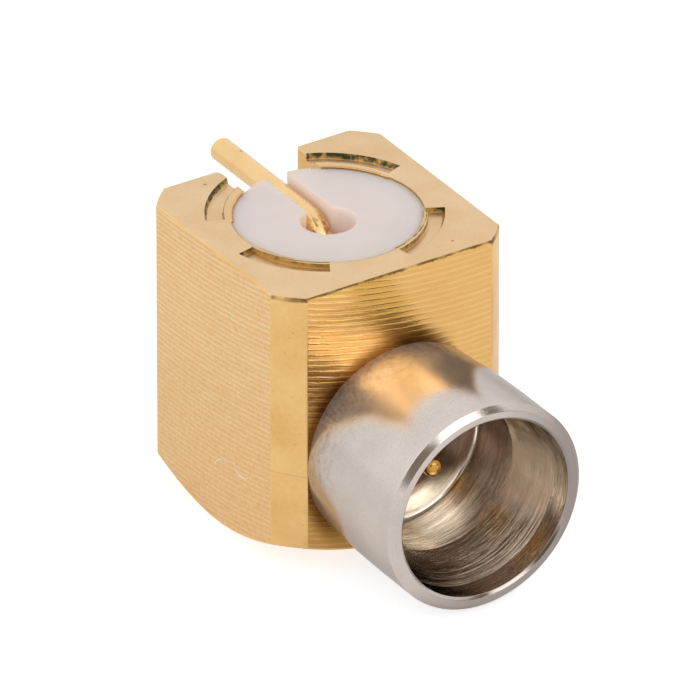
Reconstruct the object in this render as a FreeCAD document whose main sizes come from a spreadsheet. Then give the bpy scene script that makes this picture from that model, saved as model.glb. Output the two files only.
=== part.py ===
"""Right-angle SMPM coaxial connector, male, for the face of a circuit board.

Millimetres, +Z up. The origin is the centre of the body's round base, and the board face looks
up (+Z). The mating sleeve looks forward (-Y), and the tail lead leaves over the rear (+Y).
Each sub-part is drawn down from the board face and lifted whole, so that the base is at Z = 0.
"""

import FreeCAD, Part
import math
import os

import Sketcher

SIZES = {
    # Body: a turned round bar with four milled flats
    "body_width": 3.81,
    "corner_cut": 0.224,
    "body_height": 4.50,
    "base_diameter": 3.62,
    "base_cone_height": 0.40,
    "edge_radius": 0.04,
    # Well in the board face, and the staking that closes it
    "well_diameter": 2.80,
    "well_depth": 1.42,
    "stake_gap": 0.11,
    "stake_width": 0.22,
    "stake_depth": 0.09,
    "stake_count": 4,
    "stake_sweep": 48.5,
    "stake_first_angle": 16.5,
    "stake_offset": 0.08,
    "lip_overlap": 0.07,
    "lip_thickness": 0.07,
    # Slot for the tail, in the rear of the body
    "slot_width": 1.30,
    "slot_depth": 0.80,
    "slot_corner_radius": 0.11,
    # Cavity where the two contacts cross
    "cavity_diameter": 1.60,
    # Sleeve
    "axis_depth": 2.81,
    "sleeve_reach": 2.29,
    "sleeve_diameter": 3.25,
    "root_diameter": 3.11,
    "root_length": 0.22,
    "flare_length": 0.46,
    "flare_diameter": 3.22,
    "draft_length": 0.77,
    "rim_bevel": 0.09,
    "entry_diameter": 2.80,
    "entry_bevel": 0.04,
    "entry_depth": 0.38,
    "lip_diameter": 2.40,
    "lip_depth": 1.18,
    "groove_diameter": 2.56,
    "groove_length": 0.38,
    "floor_setback": 0.07,
    "floor_radius": 0.08,
    "spigot_diameter": 2.40,
    "spigot_length": 0.70,
    # Front insulator
    "bead_diameter": 1.02,
    "bead_flange_diameter": 1.50,
    "bead_flange_length": 0.40,
    # Front contact
    "pin_diameter": 0.30,
    "pin_recess": 1.31,
    "pin_tip_radius": 0.13,
    "shank_diameter": 0.62,
    "barrel_diameter": 0.72,
    "barrel_overrun": 0.36,
    # Tail contact
    "tail_diameter": 0.36,
    "tail_drop": 0.29,
    "tail_overhang": 0.97,
    "tail_bend_radius": 0.60,
    "tail_tip_radius": 0.03,
    # Rear insulator
    "disc_recess": 0.02,
    "disc_hole_diameter": 0.82,
    "disc_hole_offset": 0.12,
    "disc_hole_side": 0.07,
    "disc_hole_depth": 0.95,
    "disc_slot_margin": 0.18,
    "dent_margin_angle": 1.0,
    # Clearances, each on the radius or on one side
    "disc_clearance": 0.015,
    "lip_clearance": 0.01,
    "press_clearance": 0.005,
    "wire_clearance": 0.01,
    "slot_clearance": 0.01,
    "barrel_clearance": 0.20,
    "cavity_clearance": 0.29,
}


class Size:
    """A size worked out from the sheet: its expression there, and its present value."""

    def __init__(self, text, value):
        self.text = text
        self.value = value

    def _join(self, other, sign, value):
        other_text = other.text if isinstance(other, Size) else repr(other)
        return Size("(%s %s %s)" % (self.text, sign, other_text), value)

    def __add__(self, other):
        return self._join(other, "+", self.value + getattr(other, "value", other))

    def __sub__(self, other):
        return self._join(other, "-", self.value - getattr(other, "value", other))

    def __mul__(self, other):
        return self._join(other, "*", self.value * getattr(other, "value", other))

    def __truediv__(self, other):
        return self._join(other, "/", self.value / getattr(other, "value", other))

    def __neg__(self):
        return Size("(0 - %s)" % self.text, -self.value)


doc = FreeCAD.newDocument("smpm_connector")
sheet = doc.addObject("Spreadsheet::Sheet", "sizes")
for row, (alias, number) in enumerate(SIZES.items(), start=1):
    sheet.set("A%d" % row, alias)
    sheet.set("B%d" % row, str(number))
    sheet.setAlias("B%d" % row, alias)
doc.recompute()

ZERO = Size("0", 0.0)


def size(alias):
    return Size("sizes.%s" % alias, float(getattr(sheet, alias)))


def origin_plane(body, role):
    for feature in body.Origin.OriginFeatures:
        if feature.Role == role:
            return feature
    raise ValueError(role)


def new_body(label):
    """An empty sub-part, whose own Z = 0 is the board face."""
    body = doc.addObject("PartDesign::Body", label)
    body.Label = label
    body.setExpression("Placement.Base.z", size("body_height").text)
    return body


def new_sketch(body, name, role, raise_by=None):
    """A sketch on one of the body's own planes, raised along that plane's normal if asked."""
    sketch = body.newObject("Sketcher::SketchObject", name)
    sketch.AttachmentSupport = [(origin_plane(body, role), "")]
    sketch.MapMode = "FlatFace"
    if raise_by is not None:
        sketch.setExpression("AttachmentOffset.Base.z", raise_by.text)
    return sketch


def pin_point(sketch, geometry, end, place):
    """Hold one end of a line at a place given by two sizes."""
    for kind, axis, amount in (("DistanceX", -2, place[0]), ("DistanceY", -1, place[1])):
        if amount is ZERO:
            sketch.addConstraint(Sketcher.Constraint("PointOnObject", geometry, end, axis))
            continue
        index = sketch.addConstraint(Sketcher.Constraint(kind, -1, 1, geometry, end, amount.value))
        sketch.setExpression("Constraints[%d]" % index, amount.text)


def polygon(sketch, points):
    """A closed outline of straight lines through points, each given by two sizes."""
    first = sketch.GeometryCount
    count = len(points)
    for number, start in enumerate(points):
        end = points[(number + 1) % count]
        sketch.addGeometry(Part.LineSegment(
            FreeCAD.Vector(start[0].value, start[1].value, 0),
            FreeCAD.Vector(end[0].value, end[1].value, 0)))
    for number, start in enumerate(points):
        follower = first + (number + 1) % count
        sketch.addConstraint(Sketcher.Constraint("Coincident", first + number, 2, follower, 1))
        pin_point(sketch, first + number, 1, start)
    return sketch


def circle(sketch, centre, diameter):
    index = sketch.addGeometry(Part.Circle(
        FreeCAD.Vector(centre[0].value, centre[1].value, 0),
        FreeCAD.Vector(0, 0, 1), diameter.value / 2))
    pin_point(sketch, index, 3, centre)
    named = sketch.addConstraint(Sketcher.Constraint("Diameter", index, diameter.value))
    sketch.setExpression("Constraints[%d]" % named, diameter.text)
    return sketch


def rectangle(sketch, left, right, low, high):
    return polygon(sketch, [(left, low), (right, low), (right, high), (left, high)])


def revolve(body, name, sketch, kind="PartDesign::Revolution"):
    """Turn a sketch about its own upright axis, adding or cutting."""
    feature = body.newObject(kind, name)
    feature.Profile = sketch
    feature.ReferenceAxis = (sketch, ["V_Axis"])
    feature.Angle = 360.0
    return feature


def pocket(body, name, sketch, depth=None):
    """Cut down from the board face, to a depth or right through."""
    feature = body.newObject("PartDesign::Pocket", name)
    feature.Profile = sketch
    if depth is None:
        feature.Type = "ThroughAll"
    else:
        feature.Type = "Length"
        feature.setExpression("Length", depth.text)
    return feature


def fillet(body, name, radius, wanted):
    """Round the edges of the body's last feature that the test picks."""
    doc.recompute()
    base = body.Tip
    names = ["Edge%d" % (number + 1)
             for number, edge in enumerate(base.Shape.Edges) if wanted(edge)]
    feature = body.newObject("PartDesign::Fillet", name)
    feature.Base = (base, names)
    feature.setExpression("Radius", radius.text)
    return feature


def is_upright(edge, reach):
    """True for a straight edge along Z that lies this far from the body's axis."""
    if edge.Curve.TypeId != "Part::GeomLine":
        return False
    first, last = (vertex.Point for vertex in edge.Vertexes)
    upright = abs(first.x - last.x) < 1e-6 and abs(first.y - last.y) < 1e-6
    return upright and abs(first.x ** 2 + first.y ** 2 - reach ** 2) < 1e-4


def is_ring(edge, radius, along):
    """True for a full circle facing along Y with this radius, at this place along Y."""
    return (edge.Curve.TypeId == "Part::GeomCircle" and edge.Closed
            and abs(edge.Curve.Radius - radius) < 1e-6
            and abs(edge.Curve.Center.y - along) < 1e-6)


def turn_pattern(body, name, feature, sketch):
    """Repeat a turned feature round its own sketch's upright axis."""
    pattern = body.newObject("PartDesign::PolarPattern", name)
    pattern.Originals = [feature]
    pattern.Axis = (sketch, ["V_Axis"])
    pattern.Angle = 360.0
    pattern.setExpression("Occurrences", size("stake_count").text)
    body.Tip = pattern
    return pattern


def swept_sketch(body, name, first_angle, move_back=ZERO):
    """An upright sketch through an axis moved back along +Y, turned to where a stake starts."""
    sketch = new_sketch(body, name, "XZ_Plane")
    sketch.AttachmentOffset = FreeCAD.Placement(
        FreeCAD.Vector(0, 0, -move_back.value),
        FreeCAD.Rotation(FreeCAD.Vector(0, 1, 0), first_angle.value))
    sketch.setExpression("AttachmentOffset.Base.z", (-move_back).text)
    sketch.setExpression("AttachmentOffset.Rotation.Angle", first_angle.text)
    return sketch


face = size("body_width") / 2
bar_radius = face * Size("sqrt(2)", math.sqrt(2)) - size("corner_cut")
body_height = size("body_height")
well_radius = size("well_diameter") / 2
well_depth = size("well_depth")
lip_overlap = size("lip_overlap")
lip_thickness = size("lip_thickness")
axis_depth = size("axis_depth")
front = -face - size("sleeve_reach")
floor = -face - size("floor_setback")
spigot_radius = size("spigot_diameter") / 2
spigot_end = -face + size("spigot_length")
bead_radius = size("bead_diameter") / 2
flange_radius = size("bead_flange_diameter") / 2
bead_end = spigot_end + size("bead_flange_length")
press_clearance = size("press_clearance")
pin_radius = size("pin_diameter") / 2
shank_radius = size("shank_diameter") / 2
barrel_radius = size("barrel_diameter") / 2
tail_radius = size("tail_diameter") / 2
tail_drop = size("tail_drop")
bend_radius = size("tail_bend_radius")
wire_clearance = size("wire_clearance")


def part_turn(body, name, sketch, kind, sweep):
    """Turn a sketch about its own upright axis through part of a circle."""
    feature = revolve(body, name, sketch, kind)
    feature.setExpression("Angle", sweep.text)
    return feature


def lip_outline(sketch, clearance):
    """The section of a lip staked over the disc, grown by a clearance."""
    polygon(sketch, [
        (well_radius, ZERO),
        (well_radius, -lip_thickness - clearance),
        (well_radius - lip_overlap - clearance, ZERO)])


def make_body():
    """A turned bar with milled flats, bored from its board face and from its front flat."""
    body = new_body("body")
    base_radius = size("base_diameter") / 2
    cavity_radius = size("cavity_diameter") / 2
    cavity_floor = axis_depth + barrel_radius + size("cavity_clearance")

    bar = polygon(new_sketch(body, "bar_profile", "XZ_Plane"), [
        (ZERO, ZERO),
        (bar_radius, ZERO),
        (bar_radius, size("base_cone_height") - body_height),
        (base_radius, -body_height),
        (ZERO, -body_height)])
    revolve(body, "turned_bar", bar)

    flats = new_sketch(body, "flats_outline", "XY_Plane")
    rectangle(flats, -bar_radius * 2, bar_radius * 2, -bar_radius * 2, bar_radius * 2)
    rectangle(flats, -face, face, -face, face)
    pocket(body, "milled_flats", flats)
    fillet(body, "softened_corners", size("edge_radius"),
           lambda edge: is_upright(edge, bar_radius.value))

    well = polygon(new_sketch(body, "well_profile", "XZ_Plane"), [
        (ZERO, ZERO),
        (well_radius, ZERO),
        (well_radius, -well_depth),
        (cavity_radius, -well_depth),
        (cavity_radius, -cavity_floor),
        (ZERO, -cavity_floor)])
    revolve(body, "well", well, "PartDesign::Groove")

    seat_radius = spigot_radius + press_clearance
    collar_radius = flange_radius + press_clearance
    passage_radius = barrel_radius + size("barrel_clearance")
    socket = polygon(new_sketch(body, "front_bore_profile", "XY_Plane", -axis_depth), [
        (ZERO, -face),
        (seat_radius, -face),
        (seat_radius, spigot_end),
        (collar_radius, spigot_end),
        (collar_radius, bead_end),
        (passage_radius, bead_end),
        (passage_radius, ZERO),
        (ZERO, ZERO)])
    revolve(body, "front_bore", socket, "PartDesign::Groove")

    first_angle = size("stake_first_angle")
    stake = swept_sketch(body, "stake_profile", first_angle, size("stake_offset"))
    stake_radius = well_radius + size("stake_gap")
    rectangle(stake, stake_radius, stake_radius + size("stake_width"), -size("stake_depth"), ZERO)
    stake_mark = part_turn(body, "stake_mark", stake, "PartDesign::Groove", size("stake_sweep"))
    turn_pattern(body, "stake_marks", stake_mark, stake)

    lip = swept_sketch(body, "lip_profile", first_angle)
    lip_outline(lip, ZERO)
    staked_lip = part_turn(body, "staked_lip", lip, "PartDesign::Revolution", size("stake_sweep"))
    turn_pattern(body, "staked_lips", staked_lip, lip)

    slot = new_sketch(body, "slot_outline", "XY_Plane")
    half_slot = size("slot_width") / 2
    rectangle(slot, -half_slot, half_slot, well_radius / 2, bar_radius * 2)
    pocket(body, "tail_slot", slot, size("slot_depth"))
    slot_corner = (half_slot.value ** 2 + face.value ** 2) ** 0.5
    fillet(body, "slot_corners", size("slot_corner_radius"),
           lambda edge: is_upright(edge, slot_corner))
    return body


def make_sleeve():
    """The mating shroud: a necked tube with a floor, pressed into the body by its spigot."""
    body = new_body("sleeve")
    sleeve_radius = size("sleeve_diameter") / 2
    root_radius = size("root_diameter") / 2
    entry_radius = size("entry_diameter") / 2
    groove_radius = size("groove_diameter") / 2
    bevel = size("rim_bevel")
    entry_bevel = size("entry_bevel")
    bead_hole = bead_radius + press_clearance
    root_end = -face - size("root_length")
    flare_end = root_end - size("flare_length")
    profile = polygon(new_sketch(body, "sleeve_profile", "XY_Plane", -axis_depth), [
        (bead_hole, spigot_end),
        (spigot_radius, spigot_end),
        (spigot_radius, -face),
        (root_radius, -face),
        (root_radius, root_end),
        (size("flare_diameter") / 2, flare_end),
        (sleeve_radius, flare_end - size("draft_length")),
        (sleeve_radius, front + bevel),
        (sleeve_radius - bevel, front),
        (entry_radius + entry_bevel, front),
        (entry_radius, front + entry_bevel),
        (entry_radius, front + size("entry_depth")),
        (size("lip_diameter") / 2, front + size("lip_depth")),
        (groove_radius, floor - size("groove_length")),
        (groove_radius, floor),
        (bead_hole, floor)])
    revolve(body, "turned_sleeve", profile)
    fillet(body, "floor_corner", size("floor_radius"),
           lambda edge: is_ring(edge, groove_radius.value, floor.value))
    return body


def make_front_insulator():
    """A flanged bead that carries the front contact in the sleeve's floor."""
    body = new_body("front_insulator")
    bore = shank_radius + press_clearance
    profile = polygon(new_sketch(body, "bead_profile", "XY_Plane", -axis_depth), [
        (bore, floor),
        (bead_radius, floor),
        (bead_radius, spigot_end),
        (flange_radius, spigot_end),
        (flange_radius, bead_end),
        (bore, bead_end)])
    revolve(body, "turned_bead", profile)
    return body


def make_front_contact():
    """The pin that mates, with a cross-drilled barrel that takes the tail contact."""
    body = new_body("front_contact")
    tip = front + size("pin_recess")
    barrel_end = size("barrel_overrun")
    profile = polygon(new_sketch(body, "contact_profile", "XY_Plane", -axis_depth), [
        (ZERO, tip),
        (pin_radius, tip),
        (pin_radius, floor),
        (shank_radius, floor),
        (shank_radius, bead_end),
        (barrel_radius, bead_end),
        (barrel_radius, barrel_end),
        (ZERO, barrel_end)])
    revolve(body, "turned_contact", profile)
    cross_hole = new_sketch(body, "cross_hole_outline", "XY_Plane")
    circle(cross_hole, (ZERO, ZERO), (tail_radius + wire_clearance) * 2)
    pocket(body, "cross_hole", cross_hole)
    fillet(body, "rounded_tip", size("pin_tip_radius"),
           lambda edge: is_ring(edge, pin_radius.value, tip.value))
    return body


def make_tail_contact():
    """A round wire: up from the front contact's barrel, over a bend, and out past the rear flat."""
    body = new_body("tail_contact")
    foot = -axis_depth - barrel_radius
    tail_end = face + size("tail_overhang")
    path = new_sketch(body, "wire_path", "YZ_Plane")
    rise = path.addGeometry(Part.LineSegment(
        FreeCAD.Vector(0, foot.value, 0),
        FreeCAD.Vector(0, -tail_drop.value - bend_radius.value, 0)))
    bend_circle = Part.Circle(
        FreeCAD.Vector(bend_radius.value, -tail_drop.value - bend_radius.value, 0),
        FreeCAD.Vector(0, 0, 1), bend_radius.value)
    bend = path.addGeometry(Part.ArcOfCircle(bend_circle, math.pi / 2, math.pi))
    run = path.addGeometry(Part.LineSegment(
        FreeCAD.Vector(bend_radius.value, -tail_drop.value, 0),
        FreeCAD.Vector(tail_end.value, -tail_drop.value, 0)))
    path.addConstraint(Sketcher.Constraint("Vertical", rise))
    path.addConstraint(Sketcher.Constraint("Horizontal", run))
    path.addConstraint(Sketcher.Constraint("Tangent", rise, 2, bend, 2))
    path.addConstraint(Sketcher.Constraint("Tangent", bend, 1, run, 1))
    radius = path.addConstraint(Sketcher.Constraint("Radius", bend, bend_radius.value))
    path.setExpression("Constraints[%d]" % radius, bend_radius.text)
    pin_point(path, rise, 1, (ZERO, foot))
    pin_point(path, run, 2, (tail_end, -tail_drop))

    section = circle(new_sketch(body, "wire_section", "XY_Plane", foot), (ZERO, ZERO), tail_radius * 2)
    wire = body.newObject("PartDesign::AdditivePipe", "bent_wire")
    wire.Profile = section
    wire.Spine = (path, ["Edge1", "Edge2", "Edge3"])
    fillet(body, "rounded_end", size("tail_tip_radius"),
           lambda edge: is_ring(edge, tail_radius.value, tail_end.value))
    return body


def make_rear_insulator():
    """The staked disc, with a hole for the wire's bend and a slot for its run to the rear."""
    body = new_body("rear_insulator")
    recess = size("disc_recess")
    disc_radius = well_radius - size("disc_clearance")
    wire_hole = tail_radius + wire_clearance
    profile = polygon(new_sketch(body, "disc_profile", "XZ_Plane"), [
        (wire_hole, -recess),
        (disc_radius, -recess),
        (disc_radius, -well_depth),
        (wire_hole, -well_depth)])
    revolve(body, "turned_disc", profile)

    margin = size("dent_margin_angle")
    dent = swept_sketch(body, "dent_profile", size("stake_first_angle") - margin)
    lip_outline(dent, size("lip_clearance"))
    lip_dent = part_turn(body, "lip_dent", dent, "PartDesign::Groove", size("stake_sweep") + margin * 2)
    turn_pattern(body, "lip_dents", lip_dent, dent)

    hole = new_sketch(body, "bend_hole_outline", "XY_Plane")
    circle(hole, (-size("disc_hole_side"), -size("disc_hole_offset")), size("disc_hole_diameter"))
    pocket(body, "bend_hole", hole, size("disc_hole_depth"))

    slot = new_sketch(body, "wire_slot_outline", "XY_Plane")
    half_slot = tail_radius + size("slot_clearance")
    rectangle(slot, -half_slot, half_slot, ZERO, well_radius * 2)
    pocket(body, "wire_slot", slot, tail_drop + tail_radius + size("disc_slot_margin"))
    return body


def check(objects):
    """Stop on any failed object or broken shape."""
    for item in doc.Objects:
        bad = [state for state in item.State if state in ("Invalid", "Error")]
        if bad:
            raise RuntimeError("%s: %s" % (item.Name, bad))
    for item in objects:
        if item.Shape.isNull() or not item.Shape.isValid():
            raise RuntimeError("%s has no sound shape" % item.Label)


parts = [
    make_body(),
    make_sleeve(),
    make_front_insulator(),
    make_front_contact(),
    make_tail_contact(),
    make_rear_insulator(),
]
doc.recompute()
check(parts)
os.makedirs("parts", exist_ok=True)
for part in parts:
    part.Shape.exportStep("parts/%s.step" % part.Label)
    box = part.Shape.BoundBox
    print("%-16s volume %.4f  solids %d  x %.3f %.3f  y %.3f %.3f  z %.3f %.3f" % (
        part.Label, part.Shape.Volume, len(part.Shape.Solids),
        box.XMin, box.XMax, box.YMin, box.YMax, box.ZMin, box.ZMax))
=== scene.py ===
"""Right-angle SMPM connector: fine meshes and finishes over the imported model.

Every shape is written in millimetres in the row frame, and turned into metres when its mesh is made.
"""

import math

import bmesh
import bpy
from mathutils import Matrix, Vector


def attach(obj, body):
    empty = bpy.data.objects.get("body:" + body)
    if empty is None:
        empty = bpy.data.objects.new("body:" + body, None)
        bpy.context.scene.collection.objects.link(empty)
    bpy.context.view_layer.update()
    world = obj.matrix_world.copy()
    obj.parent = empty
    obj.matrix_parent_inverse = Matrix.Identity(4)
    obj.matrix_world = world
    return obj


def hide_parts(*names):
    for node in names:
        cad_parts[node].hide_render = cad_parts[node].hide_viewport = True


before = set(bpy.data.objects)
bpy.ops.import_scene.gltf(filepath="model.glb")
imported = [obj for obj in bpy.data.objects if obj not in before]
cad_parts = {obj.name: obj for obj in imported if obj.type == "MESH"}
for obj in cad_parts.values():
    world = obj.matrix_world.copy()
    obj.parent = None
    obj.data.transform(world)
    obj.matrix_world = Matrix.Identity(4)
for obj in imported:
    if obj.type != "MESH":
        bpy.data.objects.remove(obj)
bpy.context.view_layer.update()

MM = 0.001
ROUND_SEGMENTS = 256
ABOVE = 6.0

# Body
FACE = 1.905
LEFT_FACE = FACE + 0.03
BAR_RADIUS = 2.470
BODY_HEIGHT = 4.50
BASE_RADIUS = 1.81
CONE_HEIGHT = 0.40
EDGE_BEVEL = 0.03
WELL_RADIUS = 1.40
WELL_FLOOR = 3.08
CAVITY_RADIUS = 0.80
CAVITY_FLOOR = 1.04
STAKE_INNER = 1.45
STAKE_OUTER = 1.72
STAKE_SLOPE = 0.035
STAKE_DEPTH = 0.08
STAKE_OFFSET = 0.08
STAKES = ((18.5, 48.0), (109.0, 47.0), (192.0, 48.0), (282.0, 50.0))
LIP_OVERLAP = 0.04
LIP_THICKNESS = 0.07
HALF_SLOT = 0.65
SLOT_FLOOR = 3.70
SLOT_ROUND = 0.11
SPIGOT_HOLE = 1.205
SPIGOT_END = -1.205
FLANGE_HOLE = 0.755
FLANGE_END = -0.805
BEAD_HOLE = 0.56
# Sleeve, and what it holds
AXIS_Z = 1.69
FRONT = -4.195
ROOT = -1.905
SLEEVE_FLOOR = -1.975
SLEEVE_RADIUS = 1.625
SPIGOT_RADIUS = 1.20
SPIGOT_BORE = 0.515
BEAD_RADIUS = 0.51
BEAD_BORE = 0.315
FLANGE_RADIUS = 0.75
PIN_RADIUS = 0.15
PIN_TIP = -2.885
PIN_TIP_ROUND = 0.13
SHANK_RADIUS = 0.31
BARREL_RADIUS = 0.36
# Tail
TAIL_RADIUS = 0.18
TAIL_Z = 4.21
TAIL_END = 2.875
TAIL_FOOT = 1.33
BEND_RADIUS = 0.60
TIP_ROUND = 0.03
WIRE_SIDES = 64
FOOT_STEPS = 8
BEND_STEPS = 32
RUN_STEPS = 12
TIP_STEPS = 6
# Disc
DISC_RADIUS = 1.399
DISC_TOP = 4.48
WIRE_GAP = 0.19
WIRE_SLOT_FLOOR = 3.85
BEND_HOLE_RADIUS = 0.41
BEND_HOLE_FLOOR = 3.55
BEND_HOLE_CENTRE = (-0.07, -0.12, 0.0)


def arc_corner(before, corner, after, radius, steps=5):
    """Points that round a corner between two straight runs."""
    to_before = (Vector(before) - Vector(corner)).normalized()
    to_after = (Vector(after) - Vector(corner)).normalized()
    half = to_before.angle(to_after) / 2
    reach = radius / math.tan(half)
    start = Vector(corner) + to_before * reach
    end = Vector(corner) + to_after * reach
    middle = Vector(corner) + (to_before + to_after).normalized() * (radius / math.sin(half))
    first = start - middle
    turn = first.angle_signed(end - middle)
    points = []
    for step in range(steps + 1):
        spin = Matrix.Rotation(-turn * step / steps, 2)
        points.append(tuple(middle + spin @ first))
    return points


def softened(points, closed):
    """A profile whose corners that name a radius as a third number are rounded by it."""
    result = []
    count = len(points)
    for index, point in enumerate(points):
        if len(point) == 2 or (not closed and index in (0, count - 1)):
            result.append(tuple(point[:2]))
            continue
        before = points[(index - 1) % count][:2]
        after = points[(index + 1) % count][:2]
        result.extend(arc_corner(before, point[:2], after, point[2]))
    return result


def about_z(radius, along, angle):
    """A point at a height on a circle round the body's axis."""
    return (radius * math.cos(angle), radius * math.sin(angle), along)


def about_mating_axis(radius, along, angle):
    """A point at a depth on a circle round the sleeve's axis."""
    return (radius * math.cos(angle), along, AXIS_Z + radius * math.sin(angle))


def turned(name, profile, place, closed=False, segments=ROUND_SEGMENTS):
    """A mesh turned from a profile of (radius, along): a ring if closed, else solid to its axis."""
    points = softened(profile, closed)
    mesh = bmesh.new()
    rings = []
    for radius, along in points:
        if radius < 1e-9:
            rings.append([mesh.verts.new(place(0.0, along, 0.0))])
            continue
        rings.append([mesh.verts.new(place(radius, along, 2 * math.pi * k / segments))
                      for k in range(segments)])
    pairs = list(zip(rings, rings[1:]))
    if closed:
        pairs.append((rings[-1], rings[0]))
    for low, high in pairs:
        for k in range(segments):
            after = (k + 1) % segments
            if len(low) == 1:
                mesh.faces.new((low[0], high[k], high[after]))
            elif len(high) == 1:
                mesh.faces.new((low[k], high[0], low[after]))
            else:
                mesh.faces.new((low[k], high[k], high[after], low[after]))
    bmesh.ops.recalc_face_normals(mesh, faces=mesh.faces)
    return new_object(name, mesh)


def new_object(name, mesh):
    """The mesh as an object in the scene."""
    data = bpy.data.meshes.new(name)
    mesh.to_mesh(data)
    mesh.free()
    made = bpy.data.objects.new(name, data)
    bpy.context.scene.collection.objects.link(made)
    return made


def prism(name, outline, low, high):
    """An upright solid over a plan outline."""
    mesh = bmesh.new()
    bottom = [mesh.verts.new((x, y, low)) for x, y in outline]
    top = [mesh.verts.new((x, y, high)) for x, y in outline]
    mesh.faces.new(list(reversed(bottom)))
    mesh.faces.new(top)
    for k in range(len(outline)):
        after = (k + 1) % len(outline)
        mesh.faces.new((bottom[k], bottom[after], top[after], top[k]))
    bmesh.ops.recalc_face_normals(mesh, faces=mesh.faces)
    return new_object(name, mesh)


def ring_sector(name, section, first, sweep, centre_y, steps=48):
    """A closed section of (radius, z) swept round an upright axis through part of a turn."""
    mesh = bmesh.new()
    rings = []
    for step in range(steps + 1):
        angle = math.radians(first + sweep * step / steps)
        rings.append([mesh.verts.new((radius * math.cos(angle), centre_y + radius * math.sin(angle), z))
                      for radius, z in section])
    count = len(section)
    for low, high in zip(rings, rings[1:]):
        for k in range(count):
            after = (k + 1) % count
            mesh.faces.new((low[k], low[after], high[after], high[k]))
    mesh.faces.new(rings[0])
    mesh.faces.new(rings[-1])
    bmesh.ops.recalc_face_normals(mesh, faces=mesh.faces)
    return new_object(name, mesh)


def combined(target, tools):
    """The target with each (tool, operation) applied in turn; the tools are removed."""
    for tool, operation in tools:
        step = target.modifiers.new("step", "BOOLEAN")
        step.object = tool
        step.operation = operation
        step.solver = "EXACT"
    graph = bpy.context.evaluated_depsgraph_get()
    data = bpy.data.meshes.new_from_object(target.evaluated_get(graph))
    target.modifiers.clear()
    target.data = data
    for tool, _ in tools:
        bpy.data.objects.remove(tool)
    return target


def finished(piece, node, materials, choose=None, angle=25.0):
    """Take materials, scale to metres, smooth within an angle and stand for a CAD node."""
    for material in materials:
        piece.data.materials.append(material)
    if choose is not None:
        for polygon in piece.data.polygons:
            polygon.material_index = choose(polygon.center, polygon.normal)
    piece.data.transform(Matrix.Scale(MM, 4))
    piece.data.shade_smooth()
    piece.data.set_sharp_from_angle(angle=math.radians(angle))
    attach(piece, "root")
    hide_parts(node)
    return piece


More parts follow.
